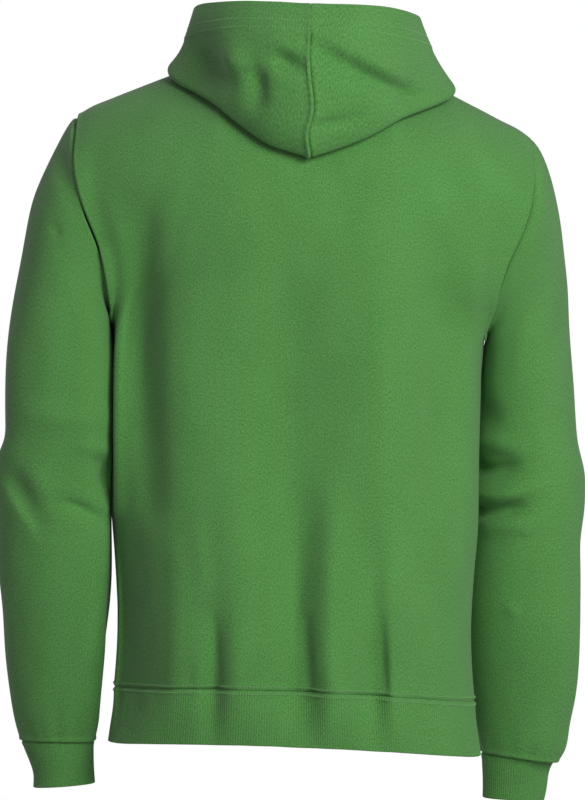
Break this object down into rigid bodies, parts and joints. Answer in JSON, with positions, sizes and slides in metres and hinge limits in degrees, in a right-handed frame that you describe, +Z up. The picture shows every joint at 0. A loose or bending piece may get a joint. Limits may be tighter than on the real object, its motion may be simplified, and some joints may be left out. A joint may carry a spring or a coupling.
{
  "type": "pullover hoodie",
  "caption": "Green fleece pullover hoodie with set-in long sleeves, rib cuffs and hem band and a lowered hood, in the hollow form it has when worn.",
  "frame": {"origin": "middle of the neck at the height where the wearer's shoulders carry the garment, between the highest points of the two shoulder seams", "axes": "+Z up along the wearer, -Y the way the wearer faces, +X the wearer's left"},
  "size_m": [0.6158, 0.2856, 0.8311],
  "materials": {
    "back_cloth": "matte brushed-back fleece jersey, fine vertical wales",
    "front_cloth": "matte brushed-back fleece jersey, fine vertical wales",
    "sleeve_left_cloth": "matte brushed-back fleece jersey, fine vertical wales",
    "sleeve_right_cloth": "matte brushed-back fleece jersey, fine vertical wales",
    "cuff_left_rib": "matte 1x1 rib knit, fine vertical wales",
    "cuff_right_rib": "matte 1x1 rib knit, fine vertical wales",
    "hem_band_rib": "matte 1x1 rib knit, fine vertical wales",
    "hood_left_cloth": "matte brushed-back fleece jersey, fine vertical wales",
    "hood_right_cloth": "matte brushed-back fleece jersey, fine vertical wales"
  },
  "bodies": {
    "root": {"back_body": "back_cloth", "front_body": "front_cloth", "sleeve_left": "sleeve_left_cloth", "sleeve_right": "sleeve_right_cloth", "cuff_left": "cuff_left_rib", "cuff_right": "cuff_right_rib", "hem_band": "hem_band_rib", "hood_left": "hood_left_cloth", "hood_right": "hood_right_cloth"}
  },
  "joints": []
}
